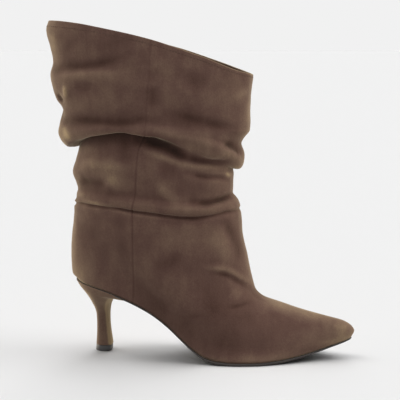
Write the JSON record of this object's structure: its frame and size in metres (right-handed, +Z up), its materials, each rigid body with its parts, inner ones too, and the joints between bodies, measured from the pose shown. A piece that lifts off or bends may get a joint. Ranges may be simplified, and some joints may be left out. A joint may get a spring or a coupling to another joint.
{
  "type": "slouch boot",
  "caption": "Right pull-on slouch boot in brown suede: folded soft shaft with a slanted open collar, pointed toe, thin sole and slim covered heel with a dark tip.",
  "frame": {"origin": "middle of the boot's bounding box, on the floor", "axes": "+X from heel to toe, +Y to the inner side of this right boot, +Z up the shaft"},
  "size_m": [0.2746, 0.086, 0.2963],
  "materials": {
    "suede": "napped brown suede, matt, paler where the nap catches the light",
    "sole": "dark brown resin sole, satin, fine tread",
    "sock": "smooth tan lining leather, satin",
    "top_lift": "near-black hard rubber, satin"
  },
  "bodies": {
    "root": {"upper": "suede", "heel": "suede", "outsole": "sole", "insole": "sock", "heel_tip": "top_lift"}
  },
  "joints": []
}
